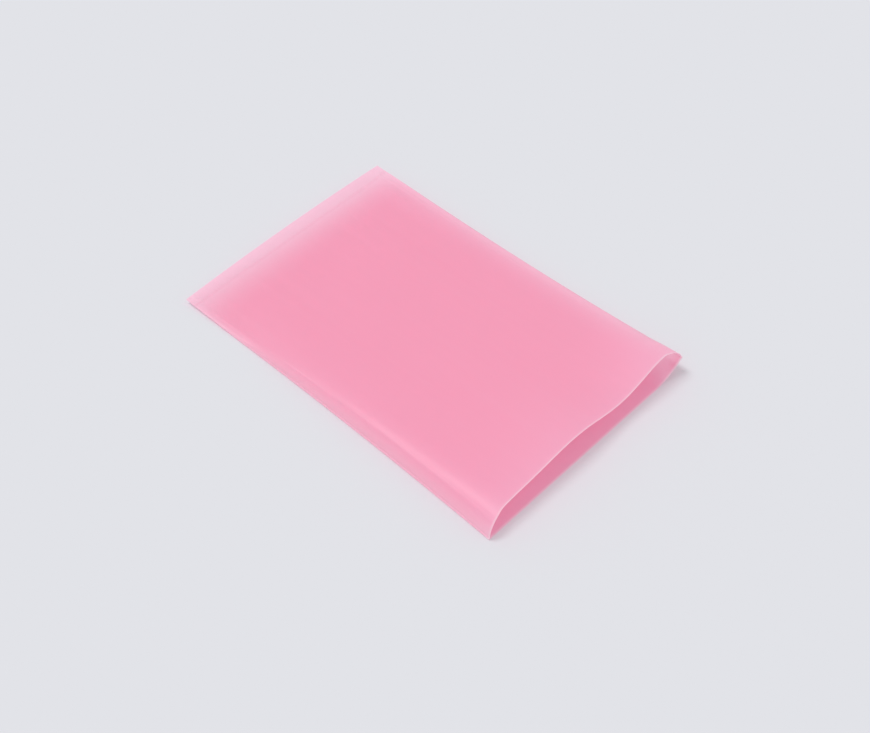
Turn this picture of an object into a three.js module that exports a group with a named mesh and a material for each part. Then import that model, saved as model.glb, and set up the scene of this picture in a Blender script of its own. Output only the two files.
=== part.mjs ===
import * as THREE from 'three';

// All sizes are in millimetres.
// The bag lies flat along X: sealed end at -X, open mouth at +X, its two side folds at -Y and +Y.

// Size of the flat bag
const LENGTH = 305;
const WIDTH = 203;
const SEAL_SHRINK = 3;
const FILM = 0.15;

// The sides are drawn in midway by the fullness of the bag, and the sealed end bows out a little
const NEAR_DRAW_IN = 2.4;
const FAR_DRAW_IN = 0.2;
const END_BOW = 1.2;

// Heat seal: a loose skirt, then a band where the two sheets are pressed into one
const SKIRT = 8;
const SEAL_BAND = 2.5;
const SKIRT_THICK = 2 * FILM;
const SEAL_THICK = 0.22;
const POCKET_START_THICK = 0.4;
const SEAL_STEP = 0.4;

// How far the bottom sheet's edges stand off the floor
const NEAR_SEAL_LIFT = 3;
const FAR_SEAL_LIFT = 8;
const SEAL_ARCH = 1.2;
const SEAL_LIFT_REACH = 60;
const FAR_MID_LIFT = 5.5;
const FAR_MOUTH_LIFT = 12;
const FAR_MID_AT = 0.45;
const FAR_LIFT_REACH = 28;

// Rounding of the side folds
const FOLD_RADIUS = 0.8;
const FAR_MOUTH_RADIUS = 1.6;
const FOLD_OPENS_OVER = 30;

// Crests that the top sheet hangs between, and the hollow where it dips at the mouth.
// Each end is [share of the length, share of the width, share of the tent's height].
const TENT_HEIGHT = 25;
const CREST_RADIUS = 14;
const HOLLOW_RADIUS = 45;
const CRESTS = [
  { name: 'near side, sealed half', from: [-0.2, -0.433, 0.36], to: [0.04, -0.443, 0.52] },
  { name: 'near side, mouth half', from: [0.04, -0.443, 0.52], to: [0.492, -0.414, 0.73] },
  { name: 'long ridge', from: [-0.25, 0.18, 0.4], to: [0.197, 0.163, 0.52] },
  { name: 'cross ridge', from: [0.338, -0.374, 0.66], to: [0.338, 0.02, 0.64] },
  { name: 'far side', from: [-0.315, 0.384, 0.24], to: [0.393, 0.414, 0.52] },
  { name: 'middle of the mouth', from: [0.33, 0, 0.7], to: [0.498, 0, 1.1] },
  { name: 'far part of the mouth', from: [0.361, 0.404, 0.64], to: [0.498, 0.404, 1.2] },
];
const HOLLOW = { name: 'dip at the mouth', from: [0.387, 0.163, 0.54], to: [0.498, 0.163, 0.54] };
const CLEAR_GAP = 1.2;
const CLEAR_GAP_OPENS_OVER = 50;

// The raised part of the mouth's upper edge is drawn back from the straight cut
const SET_BACK_PER_HEIGHT = 1 / 6;
const SET_BACK_REACH = 15;

// Fineness of the mesh and of the sheet's settling
const STATIONS = 27;
const COLUMNS = 22;
const NOSE_STEPS = 4;
const SETTLE_ROUNDS = 900;
const OVER_RELAX = 1.6;
const STIFFEN_ROUNDS = 8;

const MOUTH_X = LENGTH / 2;
const END_X = -LENGTH / 2;
const POCKET_X = END_X + SKIRT + SEAL_BAND;

function mix(a, b, t) {
  return a + (b - a) * t;
}

function clamp01(t) {
  return Math.min(1, Math.max(0, t));
}

function fadeOut(distance, reach) {
  return (1 - clamp01(distance / reach)) ** 2;
}

function lengthFraction(x) {
  return (x - END_X) / LENGTH;
}

// Plan position of the two side folds
function midwayBow(t) {
  return 4 * t * (1 - t);
}

function halfWidth(t) {
  return mix(WIDTH - SEAL_SHRINK, WIDTH, t) / 2;
}

function nearFoldY(t) {
  return -halfWidth(t) + NEAR_DRAW_IN * midwayBow(t);
}

function farFoldY(t) {
  return halfWidth(t) - FAR_DRAW_IN * midwayBow(t);
}

// Height of the underside of the bottom sheet at the side folds and at the sealed end
function farFoldLift(t) {
  const towardSeal = clamp01(1 - t / FAR_MID_AT) ** 2;
  const towardMouth = clamp01((t - FAR_MID_AT) / (1 - FAR_MID_AT)) ** 2;
  return FAR_MID_LIFT
    + (FAR_SEAL_LIFT - FAR_MID_LIFT) * towardSeal
    + (FAR_MOUTH_LIFT - FAR_MID_LIFT) * towardMouth;
}

function sealLift(v) {
  return mix(NEAR_SEAL_LIFT, FAR_SEAL_LIFT, v) + SEAL_ARCH * midwayBow(v);
}

function bottomHeight(x, v, y) {
  const t = lengthFraction(x);
  const sealPart = fadeOut(x - END_X, SEAL_LIFT_REACH);
  const farPart = fadeOut(farFoldY(t) - y, FAR_LIFT_REACH);
  const farExtra = farFoldLift(t) - sealLift(1) * sealPart;
  return sealLift(v) * sealPart + farExtra * farPart;
}

// Rounding radius of a fold, from closed at the seal to its full size
function foldRadius(x, side) {
  const t = lengthFraction(x);
  const full = side === 'far' ? mix(FOLD_RADIUS, FAR_MOUTH_RADIUS, t) : FOLD_RADIUS;
  const opened = clamp01((x - POCKET_X) / FOLD_OPENS_OVER);
  return mix(POCKET_START_THICK / 2, full, Math.sqrt(opened));
}

// Columns crowd toward the two folds, where the sheet is steepest
function columnFraction(j) {
  return (1 - Math.cos(Math.PI * j / COLUMNS)) / 2;
}

function columnY(x, j, nearRadius, farRadius) {
  const t = lengthFraction(x);
  return mix(nearFoldY(t) + nearRadius, farFoldY(t) - farRadius, columnFraction(j));
}

// Height of a crest's line beside a plan position, and the distance to it
function nearestOnLine(line, x, y) {
  const [x0, y0, z0] = inMillimetres(line.from);
  const [x1, y1, z1] = inMillimetres(line.to);
  const run = (x1 - x0) ** 2 + (y1 - y0) ** 2;
  const along = clamp01(((x - x0) * (x1 - x0) + (y - y0) * (y1 - y0)) / run);
  const away = Math.hypot(x - mix(x0, x1, along), y - mix(y0, y1, along));
  return { height: mix(z0, z1, along), away };
}

function inMillimetres([along, across, up]) {
  return [along * LENGTH, across * WIDTH, up * TENT_HEIGHT];
}

// Lowest and highest that the crests and the hollow let the top sheet lie at a plan position
function crestHeight(crest, x, y) {
  const { height, away } = nearestOnLine(crest, x, y);
  return height - away ** 2 / (2 * CREST_RADIUS);
}

function lowestTop(x, y, bottom) {
  const opened = clamp01((x - POCKET_X) / CLEAR_GAP_OPENS_OVER);
  const heights = CRESTS.map((crest) => crestHeight(crest, x, y));
  return Math.max(bottom + mix(POCKET_START_THICK, CLEAR_GAP, opened), ...heights);
}

function highestTop(x, y, lowest) {
  const { height, away } = nearestOnLine(HOLLOW, x, y);
  return Math.max(lowest, height + away ** 2 / (2 * HOLLOW_RADIUS));
}

function stationX(i) {
  return mix(POCKET_X, MOUTH_X, i / STATIONS);
}

// Plan and heights of the two sheets at every station
function layOutStations() {
  const stations = [];
  for (let i = 0; i <= STATIONS; i += 1) {
    const x = stationX(i);
    const near = foldRadius(x, 'near');
    const far = foldRadius(x, 'far');
    const station = { x, near, far, y: [], bottom: [], top: [], lowest: [], highest: [] };
    for (let j = 0; j <= COLUMNS; j += 1) {
      const y = columnY(x, j, near, far);
      const bottom = bottomHeight(x, columnFraction(j), y);
      station.y.push(y);
      station.bottom.push(bottom);
      station.lowest.push(lowestTop(x, y, bottom));
      station.highest.push(highestTop(x, y, station.lowest[j]));
      station.top.push(station.lowest[j]);
    }
    station.top[0] = station.bottom[0] + 2 * near;
    station.top[COLUMNS] = station.bottom[COLUMNS] + 2 * far;
    stations.push(station);
  }
  stations[0].top = stations[0].bottom.map((height) => height + POCKET_START_THICK);
  return stations;
}

// The top sheet settles as a stretched skin held up by the crests and free at the mouth
function settleTopSheet(stations) {
  const step = (MOUTH_X - POCKET_X) / STATIONS;
  for (let round = 0; round < SETTLE_ROUNDS; round += 1) {
    for (let i = 1; i <= STATIONS; i += 1) {
      const here = stations[i];
      const back = stations[i - 1];
      const ahead = i < STATIONS ? stations[i + 1] : back;
      for (let j = 1; j < COLUMNS; j += 1) {
        const left = here.y[j] - here.y[j - 1];
        const right = here.y[j + 1] - here.y[j];
        const share = 2 / (left + right);
        const wLeft = share / left;
        const wRight = share / right;
        const wLong = 1 / (step * step);
        const across = wLeft * here.top[j - 1] + wRight * here.top[j + 1];
        const along = wLong * (back.top[j] + ahead.top[j]);
        const settled = (across + along) / (wLeft + wRight + 2 * wLong);
        const next = here.top[j] + OVER_RELAX * (settled - here.top[j]);
        here.top[j] = Math.min(here.highest[j], Math.max(here.lowest[j], next));
      }
    }
  }
}

// The film's own stiffness rounds off the sharpest bends left at the crests
function stiffenTopSheet(stations) {
  for (let round = 0; round < STIFFEN_ROUNDS; round += 1) {
    const before = stations.map((station) => [...station.top]);
    for (let i = 1; i <= STATIONS; i += 1) {
      const back = before[i - 1];
      const ahead = i < STATIONS ? before[i + 1] : back;
      for (let j = 1; j < COLUMNS; j += 1) {
        const mean = (before[i][j - 1] + before[i][j + 1] + back[j] + ahead[j]) / 4;
        stations[i].top[j] = (before[i][j] + mean) / 2;
      }
    }
  }
}

function setBack(x, y, top) {
  const t = lengthFraction(x);
  const toFold = Math.min(y - nearFoldY(t), farFoldY(t) - y);
  return SET_BACK_PER_HEIGHT * top * t * t * clamp01(toFold / SET_BACK_REACH);
}

// Loop of points around the bag at one station: bottom sheet, far fold, top sheet, near fold
function sheetPoint(station, j, height) {
  const drawn = height > station.bottom[j] ? setBack(station.x, station.y[j], height) : 0;
  return new THREE.Vector3(station.x - drawn, station.y[j], height);
}

function nosePoints(station, j, radius, facing) {
  const points = [];
  const centre = (station.bottom[j] + station.top[j]) / 2;
  for (let k = 1; k < NOSE_STEPS; k += 1) {
    const angle = facing * (k / NOSE_STEPS - 0.5) * Math.PI;
    const y = station.y[j] + facing * radius * Math.cos(angle);
    points.push(new THREE.Vector3(station.x, y, centre + facing * radius * Math.sin(angle)));
  }
  return points;
}

function outerLoop(station) {
  const bottom = station.bottom.map((height, j) => sheetPoint(station, j, height));
  const top = station.top.map((height, j) => sheetPoint(station, j, height)).reverse();
  const far = nosePoints(station, COLUMNS, station.far, 1);
  const near = nosePoints(station, 0, station.near, -1);
  return [...bottom, ...far, ...top, ...near];
}

// The same loop one film thickness further in, square to the loop in its own cross-section
function innerLoop(loop) {
  const count = loop.length;
  return loop.map((point, k) => {
    const before = loop[(k + count - 1) % count];
    const after = loop[(k + 1) % count];
    const dirIn = new THREE.Vector2(point.y - before.y, point.z - before.z).normalize();
    const dirOut = new THREE.Vector2(after.y - point.y, after.z - point.z).normalize();
    const bisector = new THREE.Vector2(-dirIn.y - dirOut.y, dirIn.x + dirOut.x).normalize();
    const spread = Math.max(0.5, bisector.dot(new THREE.Vector2(-dirIn.y, dirIn.x)));
    const reach = FILM / spread;
    return new THREE.Vector3(point.x, point.y + bisector.x * reach, point.z + bisector.y * reach);
  });
}

// Flat loops of the skirt and the seal band, where the two sheets lie on each other
function flatStation(x, thickness) {
  const half = thickness / 2;
  const middle = POCKET_START_THICK / 2;
  const station = { x, near: half, far: half, y: [], bottom: [], top: [] };
  for (let j = 0; j <= COLUMNS; j += 1) {
    const y = columnY(x, j, half, half);
    const centre = bottomHeight(x, columnFraction(j), y) + middle;
    station.y.push(y);
    station.bottom.push(centre - half);
    station.top.push(centre + half);
  }
  return station;
}

function bowedEnd(loop) {
  const share = fadeOut(loop[0].x - END_X, SEAL_LIFT_REACH);
  return loop.map((point) => {
    const v = clamp01(point.y / WIDTH + 0.5);
    return new THREE.Vector3(point.x - END_BOW * midwayBow(v) * share, point.y, point.z);
  });
}

// Triangles between neighbouring loops, and across a flat end loop
function addPoints(mesh, loop) {
  const start = mesh.points.length;
  mesh.points.push(...loop);
  return start;
}

function joinLoops(mesh, a, b, count, flipped) {
  for (let k = 0; k < count; k += 1) {
    const next = (k + 1) % count;
    const quad = [a + k, a + next, b + next, b + k];
    if (flipped) {
      quad.reverse();
    }
    mesh.faces.push([quad[0], quad[1], quad[2]], [quad[0], quad[2], quad[3]]);
  }
}

function capLoop(mesh, start, count, flipped) {
  const at = (k) => start + ((k + count) % count);
  const nearApex = -NOSE_STEPS / 2;
  const pairs = count / 2;
  for (let k = 0; k < pairs; k += 1) {
    const low = at(nearApex + k);
    const lowNext = at(nearApex + k + 1);
    const high = at(nearApex - k);
    const highNext = at(nearApex - k - 1);
    const faces = [];
    if (k > 0) {
      faces.push([low, lowNext, high]);
    }
    if (k < pairs - 1) {
      faces.push([high, lowNext, highNext]);
    }
    mesh.faces.push(...faces.map((face) => (flipped ? [...face].reverse() : face)));
  }
}

function buildFilm() {
  const stations = layOutStations();
  settleTopSheet(stations);
  stiffenTopSheet(stations);
  const endStations = [
    flatStation(END_X, SKIRT_THICK),
    flatStation(END_X + SKIRT / 2, SKIRT_THICK),
    flatStation(END_X + SKIRT - SEAL_STEP, SKIRT_THICK),
    flatStation(END_X + SKIRT, SEAL_THICK),
    flatStation(POCKET_X - SEAL_STEP, SEAL_THICK),
  ];
  const pocket = stations.map(outerLoop);
  const outer = [...endStations.map(outerLoop), ...pocket].map(bowedEnd);
  const inner = pocket.map(innerLoop).map(bowedEnd);
  const count = outer[0].length;
  const mesh = { points: [], faces: [] };
  const outerStarts = outer.map((loop) => addPoints(mesh, loop));
  const innerStarts = inner.map((loop) => addPoints(mesh, loop));
  outerStarts.slice(1).forEach((start, i) => joinLoops(mesh, outerStarts[i], start, count, false));
  innerStarts.slice(1).forEach((start, i) => joinLoops(mesh, innerStarts[i], start, count, true));
  capLoop(mesh, outerStarts[0], count, true);
  capLoop(mesh, innerStarts[0], count, false);
  joinLoops(mesh, outerStarts.at(-1), innerStarts.at(-1), count, false);
  return mesh;
}

// The origin is put under the middle of the bag, on the floor
function toGeometry(mesh) {
  const positions = mesh.points.flatMap((point) => [point.x, point.y, point.z]);
  const geometry = new THREE.BufferGeometry();
  geometry.setAttribute('position', new THREE.Float32BufferAttribute(positions, 3));
  geometry.setIndex(mesh.faces.flat());
  geometry.computeBoundingBox();
  const { min, max } = geometry.boundingBox;
  geometry.translate(-(min.x + max.x) / 2, -(min.y + max.y) / 2, -min.z);
  geometry.computeVertexNormals();
  return geometry;
}

const filmMaterial = new THREE.MeshStandardMaterial({
  color: new THREE.Color(1.0, 0.42, 0.55),
  roughness: 0.35,
  metalness: 0,
});

const bag = new THREE.Group();
const film = new THREE.Mesh(toGeometry(buildFilm()), filmMaterial);
film.name = 'film_bag';
bag.add(film);

export default bag;
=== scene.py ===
"""Dresses the flat pink film bag: a finely lofted shell of film, its material, floor, light and camera."""

import math

import bpy
import numpy as np
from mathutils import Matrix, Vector


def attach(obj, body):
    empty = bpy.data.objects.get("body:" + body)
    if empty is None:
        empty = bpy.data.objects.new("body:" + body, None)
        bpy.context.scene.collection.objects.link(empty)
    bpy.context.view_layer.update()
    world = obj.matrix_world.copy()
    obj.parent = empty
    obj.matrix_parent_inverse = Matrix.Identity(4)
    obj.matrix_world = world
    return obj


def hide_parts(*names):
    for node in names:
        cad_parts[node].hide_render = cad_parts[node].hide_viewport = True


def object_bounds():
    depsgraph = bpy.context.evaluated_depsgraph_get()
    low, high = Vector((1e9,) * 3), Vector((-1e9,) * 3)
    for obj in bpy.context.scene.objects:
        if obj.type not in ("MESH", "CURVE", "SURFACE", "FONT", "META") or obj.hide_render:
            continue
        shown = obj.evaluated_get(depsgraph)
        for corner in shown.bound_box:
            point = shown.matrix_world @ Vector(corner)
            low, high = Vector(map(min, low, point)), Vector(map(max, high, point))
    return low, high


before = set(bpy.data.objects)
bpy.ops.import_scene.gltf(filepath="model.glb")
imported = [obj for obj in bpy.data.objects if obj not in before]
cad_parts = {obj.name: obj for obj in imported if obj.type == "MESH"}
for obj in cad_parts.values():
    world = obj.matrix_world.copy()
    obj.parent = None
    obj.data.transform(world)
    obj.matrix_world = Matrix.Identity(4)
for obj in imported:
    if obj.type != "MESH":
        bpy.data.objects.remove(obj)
cad_low, cad_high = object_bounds()

MM = 0.001

# Sizes of the bag in millimetres, as in the part's source
LENGTH = 305.0
WIDTH = 203.0
SEAL_SHRINK = 3.0
FILM = 0.15
NEAR_DRAW_IN = 2.4
FAR_DRAW_IN = 0.2
END_BOW = 1.2
SKIRT = 8.0
SEAL_BAND = 2.5
SKIRT_THICK = 2 * FILM
SEAL_THICK = 0.22
SEAL_STEP = 0.4
POCKET_START_THICK = 0.4
NEAR_SEAL_LIFT = 3.0
FAR_SEAL_LIFT = 8.0
SEAL_ARCH = 1.2
SEAL_LIFT_REACH = 60.0
FAR_MID_LIFT = 5.5
FAR_MOUTH_LIFT = 12.0
FAR_MID_AT = 0.45
FAR_LIFT_REACH = 28.0
FOLD_RADIUS = 0.8
FAR_MOUTH_RADIUS = 1.6
FOLD_OPENS_OVER = 30.0
CLEAR_GAP = 1.2
CLEAR_GAP_OPENS_OVER = 50.0
SET_BACK_PER_HEIGHT = 1 / 6
SET_BACK_REACH = 15.0

# Crests that hold up the top sheet, and the hollow at the mouth.
# Both ends of each are shares of the length, the width and the tent's height.
TENT_HEIGHT = 25.0
CREST_RADIUS = 14.0
HOLLOW_RADIUS = 45.0
NEAR_SIDE_SEALED_HALF = ((-0.2, -0.433, 0.36), (0.04, -0.443, 0.52))
NEAR_SIDE_MOUTH_HALF = ((0.04, -0.443, 0.52), (0.492, -0.414, 0.73))
LONG_RIDGE = ((-0.25, 0.18, 0.4), (0.197, 0.163, 0.52))
CROSS_RIDGE = ((0.338, -0.374, 0.66), (0.338, 0.02, 0.64))
FAR_SIDE = ((-0.315, 0.384, 0.24), (0.393, 0.414, 0.52))
MIDDLE_OF_MOUTH = ((0.33, 0.0, 0.7), (0.498, 0.0, 1.1))
FAR_PART_OF_MOUTH = ((0.361, 0.404, 0.64), (0.498, 0.404, 1.2))
HOLLOW = ((0.387, 0.163, 0.54), (0.498, 0.163, 0.54))

# The net on which the top sheet settles, as in the part's source
NET_STATIONS = 27
NET_COLUMNS = 22
SETTLE_ROUNDS = 900
OVER_RELAX = 1.6
STIFFEN_ROUNDS = 8

# The finer net that is shown
FINE_STATIONS = 150
FINE_COLUMNS = 96
SKIRT_STATIONS = 8
BAND_STATIONS = 5
NOSE_STEPS = 8

# Small unevenness of the film, in millimetres
SEED = 7
BROAD_WAVES = 7
BROAD_WAVE_HEIGHT = 0.16
BROAD_WAVE_LENGTHS = (55.0, 120.0)
PUCKERS = 6
PUCKER_HEIGHT = 0.16
PUCKER_LENGTHS = (11.0, 34.0)
PUCKER_REACH = 16.0
LIP_RISE = 0.35
LIP_REACH = 2.0
WAVES_GROW_OVER = 3.6

# Where the film looks paler, as light gets in at its raised end and its folds: shares and millimetres
SEAL_GLOW_FLAT = 9.0
SEAL_GLOW_REACH = 31.0
SEAL_GLOW_POWER = 1.8
FAR_GLOW = 0.5
FAR_GLOW_FLAT = 3.0
FAR_GLOW_REACH = 22.0
NEAR_GLOW = 0.8
NEAR_GLOW_REACH = 8.0
NEAR_TAIL = 0.3
NEAR_TAIL_REACH = 34.0

# Inside the mouth the pale band of painted light stops, and the far corner's film, seen edge on, gets a
# deeper pink of painted shade: millimetres
INSIDE_MOUTH_REACH = 30.0
FOLD_INSIDE_LENGTH = 16.0
FOLD_INSIDE_FLAT = 6.0
FOLD_INSIDE_REACH = 12.0

# Colours of the film, linear
FILM_PINK = (1.0, 0.505, 0.68, 1.0)
# Painted light: paler pink for the light that gets in at the raised end and the folds; also the colour of
# the film's streaks
FILM_PAINTED_LIGHT_AND_STREAKS = (1.0, 0.71, 0.83, 1.0)
FILM_SEAL = (1.0, 0.46, 0.63, 1.0)
# Painted shade: the deeper pink inside the far corner of the mouth
FILM_PAINTED_SHADE = (1.0, 0.29, 0.49, 1.0)
# Painted highlight: the pale line along the mouth's cut edge
FILM_CUT_HIGHLIGHT = (1.0, 0.80, 0.88, 1.0)
CLEAR_TINT = (1.0, 0.93, 0.96, 1.0)

# How the film treats light
SCATTER_SHARE = 0.76
TRANSLUCENT_SHARE = 0.36
IOR = 1.5
GLOSSY_ROUGHNESS = 0.27
DULL_ROUGHNESS = 0.42
STREAK_SHARE = 0.14
SEAL_SHARE = 0.12

# Patterns in the film: scales in waves per metre along X, Y and Z, depths in metres, the rest in millimetres
STREAK_SCALE = (4.0, 160.0, 8.0)
CLOUD_SCALE = (14.0, 26.0, 20.0)
GRAIN_SCALE = (60.0, 220.0, 120.0)
STREAK_DETAIL = 3.0
SOFT_DETAIL = 2.0
FULL_STRENGTH = 1.0
SEAL_RIB_PITCH = 0.9
SEAL_RIB_DEPTH = 0.00002
GRAIN_STRENGTH = 0.25
GRAIN_DEPTH = 0.0003
CREASE_FROM_FOLD = 5.5
CREASE_WIDTH = 0.9
CREASE_DEPTH = 0.0002

# Light passes from sheet to sheet of the film many times before it is spent
BOUNCES = 24
DIFFUSE_BOUNCES = 16

# Floor: its colour as seen, and as it lights the bag from below, linear, and its sizes in metres
FLOOR_SEEN = (0.703, 0.710, 0.747, 1.0)
FLOOR_LIT = (1.0, 1.0, 1.0, 1.0)
FLOOR_SIZE = 60.0
FLOOR_DROP = 0.0003

# Light: an even white world, and a soft sun's direction, strength and spread in degrees
WORLD_COLOUR = (1.0, 1.0, 1.0, 1.0)
WORLD_STRENGTH = 0.74
KEY_FROM = (-1.45, -0.65, 3.3)
KEY_STRENGTH = 1.19
KEY_SPREAD = 23.0

# Camera, fitted to the bag's four corners in the 870 by 733 pixel frame
PHOTO_WIDTH_PX = 870
SENSOR_WIDTH = 36.0
FOCAL_PX = 1412.4
CAMERA_AT = (482.7, -496.8, 761.8)
CAMERA_AZIMUTH = 43.7
CAMERA_ELEVATION = 49.0

# Places that follow from the sizes
CRESTS = (
    NEAR_SIDE_SEALED_HALF,
    NEAR_SIDE_MOUTH_HALF,
    LONG_RIDGE,
    CROSS_RIDGE,
    FAR_SIDE,
    MIDDLE_OF_MOUTH,
    FAR_PART_OF_MOUTH,
)
END_X = -LENGTH / 2
MOUTH_X = LENGTH / 2
POCKET_X = END_X + SKIRT + SEAL_BAND
FRAME_SHIFT = cad_high.x / MM - MOUTH_X


def mix(a, b, t):
    return a + (b - a) * t


def clamp01(t):
    return np.clip(t, 0.0, 1.0)


def fade_out(distance, reach):
    return (1 - clamp01(distance / reach)) ** 2


def bell(distance, width):
    return np.exp(-((distance / width) ** 2))


# The bag's plan and its underside

def length_fraction(x):
    return (x - END_X) / LENGTH


def midway_bow(t):
    return 4 * t * (1 - t)


def half_width(t):
    return mix(WIDTH - SEAL_SHRINK, WIDTH, t) / 2


def near_fold_y(t):
    return -half_width(t) + NEAR_DRAW_IN * midway_bow(t)


def far_fold_y(t):
    return half_width(t) - FAR_DRAW_IN * midway_bow(t)


def far_fold_lift(t):
    toward_seal = clamp01(1 - t / FAR_MID_AT) ** 2
    toward_mouth = clamp01((t - FAR_MID_AT) / (1 - FAR_MID_AT)) ** 2
    seal_part = (FAR_SEAL_LIFT - FAR_MID_LIFT) * toward_seal
    mouth_part = (FAR_MOUTH_LIFT - FAR_MID_LIFT) * toward_mouth
    return FAR_MID_LIFT + seal_part + mouth_part


def seal_lift(v):
    return mix(NEAR_SEAL_LIFT, FAR_SEAL_LIFT, v) + SEAL_ARCH * midway_bow(v)


def bottom_height(x, v, y):
    """Height of the underside of the bottom sheet."""
    t = length_fraction(x)
    seal_part = fade_out(x - END_X, SEAL_LIFT_REACH)
    far_part = fade_out(far_fold_y(t) - y, FAR_LIFT_REACH)
    far_extra = far_fold_lift(t) - seal_lift(1.0) * seal_part
    return seal_lift(v) * seal_part + far_extra * far_part


def fold_radius(x, full_at_mouth):
    full = mix(FOLD_RADIUS, full_at_mouth, length_fraction(x))
    opened = clamp01((x - POCKET_X) / FOLD_OPENS_OVER)
    return mix(POCKET_START_THICK / 2, full, np.sqrt(opened))


def near_radius(x):
    return fold_radius(x, FOLD_RADIUS)


def far_radius(x):
    return fold_radius(x, FAR_MOUTH_RADIUS)


def column_fractions(columns):
    """Columns crowd toward the two folds, where the sheet is steepest."""
    return (1 - np.cos(np.pi * np.arange(columns + 1) / columns)) / 2


def sheet_plan(x, v, near, far):
    """Y of every column at every station."""
    t = length_fraction(x)
    return mix(near_fold_y(t) + near, far_fold_y(t) - far, v)


# The top sheet settles as a stretched skin held up by the crests and free at the mouth

def nearest_on_line(line, x, y):
    """Height of a crest's line beside each plan position, and the distance to it."""
    scale = np.array((LENGTH, WIDTH, TENT_HEIGHT))
    (x0, y0, z0), (x1, y1, z1) = np.array(line) * scale
    run = (x1 - x0) ** 2 + (y1 - y0) ** 2
    along = clamp01(((x - x0) * (x1 - x0) + (y - y0) * (y1 - y0)) / run)
    away = np.hypot(x - mix(x0, x1, along), y - mix(y0, y1, along))
    return mix(z0, z1, along), away


def lowest_top(x, y, bottom):
    opened = clamp01((x - POCKET_X) / CLEAR_GAP_OPENS_OVER)
    lowest = bottom + mix(POCKET_START_THICK, CLEAR_GAP, opened)
    for crest in CRESTS:
        height, away = nearest_on_line(crest, x, y)
        lowest = np.maximum(lowest, height - away ** 2 / (2 * CREST_RADIUS))
    return lowest


def highest_top(x, y, lowest):
    height, away = nearest_on_line(HOLLOW, x, y)
    return np.maximum(lowest, height + away ** 2 / (2 * HOLLOW_RADIUS))


def ahead_of(top):
    """The next station's heights; at the free mouth, those of the station before it."""
    return np.vstack((top[2:, 1:-1], top[-2:-1, 1:-1]))


def settle(top, lowest, highest, y):
    """Relaxes the heights in place, one half of a chequered net at a time."""
    step = (MOUTH_X - POCKET_X) / NET_STATIONS
    left = y[1:, 1:-1] - y[1:, :-2]
    right = y[1:, 2:] - y[1:, 1:-1]
    share = 2 / (left + right)
    w_left = share / left
    w_right = share / right
    w_along = 1 / step ** 2
    rows, columns = np.indices(left.shape)
    halves = [(rows + columns) % 2 == half for half in (0, 1)]
    for _ in range(SETTLE_ROUNDS):
        for half in halves:
            inner = top[1:, 1:-1]
            across = w_left * top[1:, :-2] + w_right * top[1:, 2:]
            along = w_along * (top[:-1, 1:-1] + ahead_of(top))
            settled = (across + along) / (w_left + w_right + 2 * w_along)
            moved = inner + OVER_RELAX * (settled - inner)
            moved = np.clip(moved, lowest[1:, 1:-1], highest[1:, 1:-1])
            top[1:, 1:-1] = np.where(half, moved, inner)


def stiffen(top):
    """The film's own stiffness rounds off the sharpest bends left at the crests."""
    for _ in range(STIFFEN_ROUNDS):
        mean = (top[1:, :-2] + top[1:, 2:] + top[:-1, 1:-1] + ahead_of(top)) / 4
        top[1:, 1:-1] = (top[1:, 1:-1] + mean) / 2


def settled_gap():
    """How far the top sheet stands above the bottom one, on the same net as in the part's source."""
    x = np.linspace(POCKET_X, MOUTH_X, NET_STATIONS + 1)[:, None]
    v = column_fractions(NET_COLUMNS)[None, :]
    near = near_radius(x)
    far = far_radius(x)
    y = sheet_plan(x, v, near, far)
    bottom = bottom_height(x, v, y)
    lowest = lowest_top(x, y, bottom)
    highest = highest_top(x, y, lowest)
    top = lowest.copy()
    top[:, 0] = bottom[:, 0] + 2 * near[:, 0]
    top[:, -1] = bottom[:, -1] + 2 * far[:, 0]
    top[0] = bottom[0] + POCKET_START_THICK
    settle(top, lowest, highest, y)
    stiffen(top)
    return top - bottom


def refine(values, steps):
    """A smooth curve through each column of values, sampled at steps + 1 even places."""
    place = np.linspace(0, len(values) - 1, steps + 1)
    start = np.minimum(place.astype(int), len(values) - 2)
    t = (place - start)[:, None]
    slope = np.gradient(values, axis=0)
    from_start = values[start] * (1 + 2 * t) * (1 - t) ** 2 + slope[start] * t * (1 - t) ** 2
    from_end = values[start + 1] * (3 - 2 * t) * t ** 2 - slope[start + 1] * (1 - t) * t ** 2
    return from_start + from_end


# Small unevenness that real film has

def broad_waves(x, y, chance):
    """Long soft waves in all directions."""
    waves = np.zeros(y.shape)
    for _ in range(BROAD_WAVES):
        heading = chance.uniform(0, math.pi)
        wave_length = chance.uniform(*BROAD_WAVE_LENGTHS)
        phase = chance.uniform(0, 2 * math.pi)
        run = x * math.cos(heading) + y * math.sin(heading)
        waves += BROAD_WAVE_HEIGHT * np.sin(2 * math.pi * run / wave_length + phase)
    return waves


def seal_puckers(x, y, chance):
    """Short ripples that run into the pocket from the heat seal and soon die out."""
    ripples = np.zeros(y.shape)
    for _ in range(PUCKERS):
        wave_length = chance.uniform(*PUCKER_LENGTHS)
        phase = chance.uniform(0, 2 * math.pi)
        ripples += PUCKER_HEIGHT * np.sin(2 * math.pi * y / wave_length + phase)
    from_seal = (x - POCKET_X) / PUCKER_REACH
    return ripples * math.e * from_seal * np.exp(-from_seal)


def mouth_lip(x):
    """The cut edge of the top sheet curls up a little."""
    return LIP_RISE * fade_out(MOUTH_X - x, LIP_REACH)


def unevenness(x, y, gap):
    """All of it together, and none where the sheets lie close, so that they never cross."""
    chance = np.random.default_rng(SEED)
    room = clamp01((gap - 2 * FOLD_RADIUS) / WAVES_GROW_OVER)
    return room * (broad_waves(x, y, chance) + seal_puckers(x, y, chance) + mouth_lip(x))


# The shell: loops of points around the bag, from the sealed end to the mouth

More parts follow.
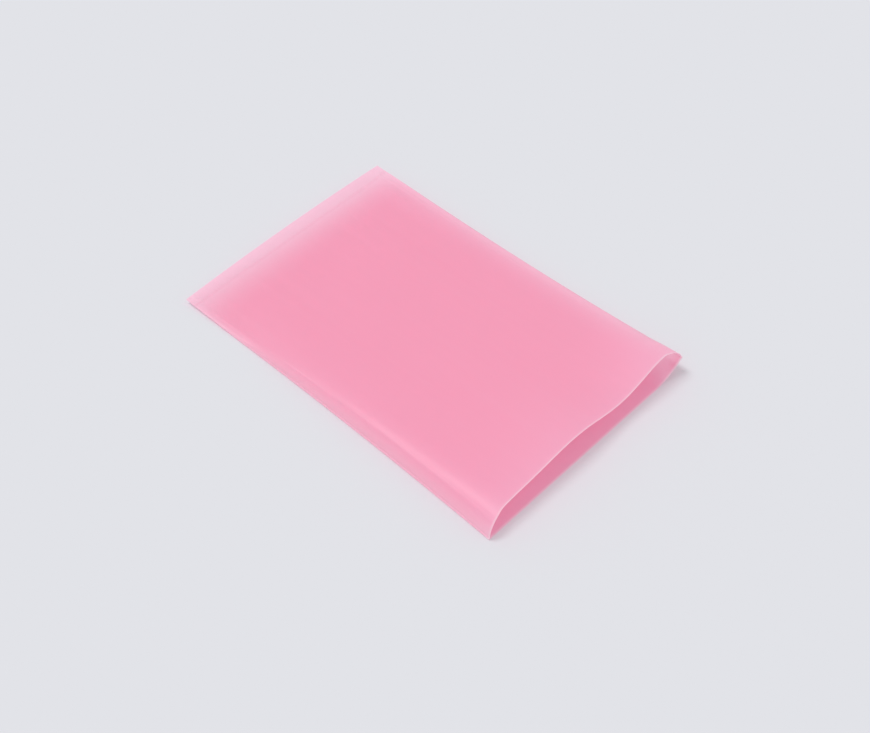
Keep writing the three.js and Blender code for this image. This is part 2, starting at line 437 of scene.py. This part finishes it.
def set_back(x, y, top):
    """The raised part of the mouth's upper edge is drawn back from the straight cut."""
    t = length_fraction(x)
    to_fold = np.minimum(y - near_fold_y(t), far_fold_y(t) - y)
    return SET_BACK_PER_HEIGHT * top * t * t * clamp01(to_fold / SET_BACK_REACH)


def fold_nose(x, y, low, high, radius, facing):
    """Half circle of film around a side fold, from the lower sheet to the upper one."""
    angle = (np.arange(1, NOSE_STEPS) / NOSE_STEPS - 0.5) * np.pi
    nose_y = y[:, None] + facing * radius[:, None] * np.cos(angle)
    nose_z = (low + high)[:, None] / 2 + radius[:, None] * np.sin(angle)
    nose_x = np.broadcast_to(x[:, None], nose_y.shape)
    return np.stack((nose_x, nose_y, nose_z), -1)


def loops_around(x, y, bottom, top, near, far):
    """Each loop runs along the bottom sheet, round the far fold, and back by the top sheet and near fold."""
    full_x = np.broadcast_to(x[:, None], y.shape)
    lower = np.stack((full_x, y, bottom), -1)
    upper = np.stack((full_x - set_back(full_x, y, top), y, top), -1)
    far_nose = fold_nose(x, y[:, -1], bottom[:, -1], top[:, -1], far, 1)
    near_nose = fold_nose(x, y[:, 0], bottom[:, 0], top[:, 0], near, -1)
    return np.concatenate((lower, far_nose, upper[:, ::-1], near_nose[:, ::-1]), 1)


def flat_loops(x, thick):
    """The skirt or the heat seal, where the two sheets lie on each other."""
    half = np.full(len(x), thick / 2)
    v = column_fractions(FINE_COLUMNS)[None, :]
    y = sheet_plan(x[:, None], v, half[:, None], half[:, None])
    middle = bottom_height(x[:, None], v, y) + POCKET_START_THICK / 2
    return loops_around(x, y, middle - half[:, None], middle + half[:, None], half, half)


def pocket_loops():
    """The open part of the bag, from the seal to the mouth."""
    gap = refine(refine(settled_gap(), FINE_STATIONS).T, FINE_COLUMNS).T
    gap = np.maximum(gap, POCKET_START_THICK)
    x = np.linspace(POCKET_X, MOUTH_X, FINE_STATIONS + 1)
    v = column_fractions(FINE_COLUMNS)[None, :]
    near = near_radius(x)
    far = far_radius(x)
    y = sheet_plan(x[:, None], v, near[:, None], far[:, None])
    bottom = bottom_height(x[:, None], v, y)
    top = bottom + gap + unevenness(x[:, None], y, gap)
    top[:, 0] = bottom[:, 0] + 2 * near
    top[:, -1] = bottom[:, -1] + 2 * far
    return loops_around(x, y, bottom, top, near, far)


def bowed_end(loops):
    """The sealed end bows out a little between its corners."""
    share = fade_out(loops[..., 0] - END_X, SEAL_LIFT_REACH)
    v = clamp01(loops[..., 1] / WIDTH + 0.5)
    loops[..., 0] -= END_BOW * midway_bow(v) * share
    return loops


def film_loops():
    """All loops in millimetres, before they move to the frame's origin."""
    skirt = flat_loops(np.linspace(END_X, END_X + SKIRT - SEAL_STEP, SKIRT_STATIONS), SKIRT_THICK)
    band = flat_loops(np.linspace(END_X + SKIRT, POCKET_X - SEAL_STEP, BAND_STATIONS), SEAL_THICK)
    return np.concatenate((skirt, band, pocket_loops()), 0)


def film_mesh(points):
    """One open tube through all the loops."""
    stations, around = points.shape[:2]
    i, k = np.meshgrid(np.arange(stations - 1), np.arange(around), indexing="ij")
    following = (k + 1) % around
    here = i * around
    ahead = here + around
    faces = np.stack((here + k, here + following, ahead + following, ahead + k), -1)
    mesh = bpy.data.meshes.new("film_shell")
    mesh.from_pydata(points.reshape(-1, 3).tolist(), [], faces.reshape(-1, 4).tolist())
    mesh.shade_smooth()
    return mesh


def store(mesh, name, values):
    """Keeps one number for each point, for the material to read."""
    layer = mesh.attributes.new(name, "FLOAT", "POINT")
    layer.data.foreach_set("value", values.astype(np.float32).ravel())


def from_folds(loops):
    """Distance of each point from the near and from the far side fold."""
    t = clamp01(length_fraction(loops[..., 0]))
    y = loops[..., 1]
    return y - near_fold_y(t), far_fold_y(t) - y


def inside_mouth(loops, reach):
    """1 on the lower sheet and the far fold at the mouth, fading out over a reach into the bag."""
    lower = np.zeros(loops.shape[:2])
    lower[:, :FINE_COLUMNS + NOSE_STEPS] = 1.0
    return lower * fade_out(MOUTH_X - loops[..., 0], reach)


def painted_edge_light(loops):
    """Share of the painted light at each point: the paler colour standing in for the light that gets in
    under the raised end and beside the folds.
    """
    from_near, from_far = from_folds(loops)
    t = clamp01(length_fraction(loops[..., 0]))
    beyond = clamp01((loops[..., 0] - END_X - SEAL_GLOW_FLAT) / SEAL_GLOW_REACH)
    seal = (1 - beyond) ** SEAL_GLOW_POWER
    outside = 1 - inside_mouth(loops, INSIDE_MOUTH_REACH)
    far = FAR_GLOW * fade_out(from_far - FAR_GLOW_FLAT, FAR_GLOW_REACH) * outside
    near = NEAR_GLOW * fade_out(from_near, NEAR_GLOW_REACH)
    tail = NEAR_TAIL * fade_out(from_near, NEAR_TAIL_REACH) * (1 - t)
    return 1 - (1 - seal) * (1 - far) * (1 - near) * (1 - tail)


def painted_fold_shade(loops):
    """Share of the painted shade inside the far corner of the mouth: a deeper pink where the film is seen
    edge on.
    """
    from_far = from_folds(loops)[1]
    across = fade_out(from_far - FOLD_INSIDE_FLAT, FOLD_INSIDE_REACH)
    return inside_mouth(loops, FOLD_INSIDE_LENGTH) * across


def crease(loops):
    """A faint line beside each side fold, where the flat tube was pressed."""
    from_near, from_far = from_folds(loops)
    from_fold = np.minimum(from_near, from_far)
    return bell(from_fold - CREASE_FROM_FOLD, CREASE_WIDTH)


def painted_cut_highlight(loops):
    """Share of the painted highlight on the mouth's cut edge: 1 at the very edge of the mouth, 0 on the
    rest.
    """
    share = np.zeros(loops.shape[:2])
    share[-1] = 1.0
    return share


class Tree:
    """Short calls that build a material's or the world's nodes."""

    def __init__(self, owner):
        owner.use_nodes = True
        self.owner = owner
        self.nodes = owner.node_tree.nodes
        self.links = owner.node_tree.links
        self.nodes.clear()

    def add(self, kind, inputs=None, **settings):
        node = self.nodes.new(kind)
        for key, value in settings.items():
            setattr(node, key, value)
        for key, value in (inputs or {}).items():
            self.feed(node.inputs[key], value)
        return node

    def feed(self, socket, value):
        if isinstance(value, bpy.types.NodeSocket):
            self.links.new(value, socket)
        else:
            socket.default_value = value

    def math(self, operation, *values):
        node = self.add("ShaderNodeMath", operation=operation)
        for socket, value in zip(node.inputs, values):
            self.feed(socket, value)
        return node.outputs[0]

    def blend(self, share, a, b):
        node = self.add("ShaderNodeMix", data_type="RGBA")
        self.feed(node.inputs["Factor"], share)
        colours = [socket for socket in node.inputs if socket.type == "RGBA"]
        self.feed(colours[0], a)
        self.feed(colours[1], b)
        return next(socket for socket in node.outputs if socket.type == "RGBA")

    def mix_shader(self, share, a, b):
        node = self.add("ShaderNodeMixShader")
        self.feed(node.inputs[0], share)
        self.feed(node.inputs[1], a.outputs[0])
        self.feed(node.inputs[2], b.outputs[0])
        return node

    def attribute(self, name):
        return self.add("ShaderNodeAttribute", attribute_name=name).outputs["Fac"]

    def noise(self, place, scale, detail):
        stretched = self.add("ShaderNodeMapping", {"Vector": place, "Scale": scale})
        inputs = {"Vector": stretched.outputs[0], "Scale": 1.0, "Detail": detail}
        return self.add("ShaderNodeTexNoise", inputs).outputs["Fac"]

    def bump(self, height, strength, depth, under=None):
        inputs = {"Height": height, "Strength": strength, "Distance": depth}
        if under:
            inputs["Normal"] = under
        return self.add("ShaderNodeBump", inputs).outputs[0]

    def seen_directly(self):
        """1 for rays from the camera and for those that mirrors and glass pass on, else 0."""
        path = self.add("ShaderNodeLightPath").outputs
        passed_on = self.math("MAXIMUM", path["Is Glossy Ray"], path["Is Transmission Ray"])
        return self.math("MAXIMUM", path["Is Camera Ray"], passed_on)

    def end(self, kind, shader):
        output = self.add(kind)
        self.feed(output.inputs["Surface"], shader.outputs[0])
        return self.owner


def seal_band_share(tree, x):
    """1 on the heat seal band, 0 elsewhere."""
    middle = (END_X + SKIRT + SEAL_BAND / 2 + FRAME_SHIFT) * MM
    away = tree.math("ABSOLUTE", tree.math("SUBTRACT", x, middle))
    return tree.math("LESS_THAN", away, SEAL_BAND / 2 * MM)


def film_normal(tree, place, x, in_seal):
    """Fine unevenness of the film, the ribs of the heat seal and the pressed creases beside the folds."""
    grain = tree.bump(tree.noise(place, GRAIN_SCALE, SOFT_DETAIL), GRAIN_STRENGTH, GRAIN_DEPTH)
    turns = tree.math("MULTIPLY", x, 2 * math.pi / (SEAL_RIB_PITCH * MM))
    ribs = tree.math("MULTIPLY", tree.math("SINE", turns), in_seal)
    ribbed = tree.bump(ribs, FULL_STRENGTH, SEAL_RIB_DEPTH, under=grain)
    return tree.bump(tree.attribute("crease"), FULL_STRENGTH, CREASE_DEPTH, under=ribbed)


def film_colour(tree, place, in_seal):
    """Pink, with painted light making it paler at the raised end and the folds, painted shade deepening the
    far corner of the mouth, a painted highlight along the cut edge, and faint lengthwise streaks from the
    blown film.
    """
    streaks = tree.noise(place, STREAK_SCALE, STREAK_DETAIL)
    # Painted light: paler where light gets in under the raised end and beside the folds
    colour = tree.blend(tree.attribute("painted_edge_light"), FILM_PINK, FILM_PAINTED_LIGHT_AND_STREAKS)
    colour = tree.blend(tree.math("MULTIPLY", streaks, STREAK_SHARE), colour, FILM_PAINTED_LIGHT_AND_STREAKS)
    colour = tree.blend(tree.math("MULTIPLY", in_seal, SEAL_SHARE), colour, FILM_SEAL)
    # Painted shade: deeper pink inside the far corner of the mouth
    colour = tree.blend(tree.attribute("painted_fold_shade"), colour, FILM_PAINTED_SHADE)
    # Painted highlight: pale line along the mouth's cut edge
    return tree.blend(tree.attribute("painted_cut_highlight"), colour, FILM_CUT_HIGHLIGHT)


def film_material():
    """Each sheet scatters part of the light back, glows with part of it and lets the rest through."""
    tree = Tree(bpy.data.materials.new("pink_film"))
    place = tree.add("ShaderNodeTexCoord").outputs["Object"]
    x = tree.add("ShaderNodeSeparateXYZ", {0: place}).outputs["X"]
    in_seal = seal_band_share(tree, x)
    colour = film_colour(tree, place, in_seal)
    normal = film_normal(tree, place, x, in_seal)
    clouds = tree.noise(place, CLOUD_SCALE, SOFT_DETAIL)
    spread = tree.math("MULTIPLY", clouds, DULL_ROUGHNESS - GLOSSY_ROUGHNESS)
    roughness = tree.math("ADD", spread, GLOSSY_ROUGHNESS)
    looks = {"Base Color": colour, "Roughness": roughness, "Normal": normal, "IOR": IOR}
    sheet = tree.add("ShaderNodeBsdfPrincipled", looks)
    glow = tree.add("ShaderNodeBsdfTranslucent", {"Color": colour, "Normal": normal})
    clear = tree.add("ShaderNodeBsdfTransparent", {"Color": CLEAR_TINT})
    scatter = tree.mix_shader(TRANSLUCENT_SHARE, sheet, glow)
    film = tree.mix_shader(SCATTER_SHARE, clear, scatter)
    return tree.end("ShaderNodeOutputMaterial", film)


def add_film():
    loops = film_loops()
    points = bowed_end(loops.copy())
    points[..., 0] += FRAME_SHIFT
    mesh = film_mesh(points * MM)
    store(mesh, "painted_edge_light", painted_edge_light(loops))
    store(mesh, "painted_fold_shade", painted_fold_shade(loops))
    store(mesh, "crease", crease(loops))
    store(mesh, "painted_cut_highlight", painted_cut_highlight(loops))
    mesh.materials.append(film_material())
    film = bpy.data.objects.new("film_shell", mesh)
    bpy.context.collection.objects.link(film)
    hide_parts("film_bag")
    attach(film, "root")


def floor_material():
    tree = Tree(bpy.data.materials.new("pale_floor"))
    colour = tree.blend(tree.seen_directly(), FLOOR_LIT, FLOOR_SEEN)
    surface = tree.add("ShaderNodeBsdfDiffuse", {"Color": colour})
    return tree.end("ShaderNodeOutputMaterial", surface)


def add_floor():
    bpy.ops.mesh.primitive_plane_add(size=FLOOR_SIZE, location=(0, 0, -FLOOR_DROP))
    floor = bpy.context.object
    floor.name = "floor"
    floor.data.materials.append(floor_material())


def add_world():
    tree = Tree(bpy.data.worlds.new("studio"))
    surface = tree.add("ShaderNodeBackground", {"Color": WORLD_COLOUR, "Strength": WORLD_STRENGTH})
    bpy.context.scene.world = tree.end("ShaderNodeOutputWorld", surface)


def add_key_light():
    """A sun with a wide disc: soft shadows, and the same light all over the floor."""
    lamp = bpy.data.lights.new("key", "SUN")
    lamp.energy = KEY_STRENGTH
    lamp.angle = math.radians(KEY_SPREAD)
    key = bpy.data.objects.new("key", lamp)
    key.location = KEY_FROM
    key.rotation_euler = (-Vector(KEY_FROM)).to_track_quat("-Z", "Y").to_euler()
    bpy.context.collection.objects.link(key)


def add_camera():
    lens = bpy.data.cameras.new("camera")
    lens.sensor_width = SENSOR_WIDTH
    lens.lens = FOCAL_PX * SENSOR_WIDTH / PHOTO_WIDTH_PX
    camera = bpy.data.objects.new("camera", lens)
    camera.location = Vector(CAMERA_AT) * MM
    camera.rotation_euler = (math.radians(90 - CAMERA_ELEVATION), 0, math.radians(CAMERA_AZIMUTH))
    bpy.context.collection.objects.link(camera)
    bpy.context.scene.camera = camera


def set_bounces():
    cycles = bpy.context.scene.cycles
    cycles.max_bounces = BOUNCES
    cycles.diffuse_bounces = DIFFUSE_BOUNCES
    cycles.transmission_bounces = BOUNCES
    cycles.transparent_max_bounces = BOUNCES


add_camera()
add_film()
add_floor()
add_world()
add_key_light()
set_bounces()
bpy.context.scene.view_settings.view_transform = "Standard"
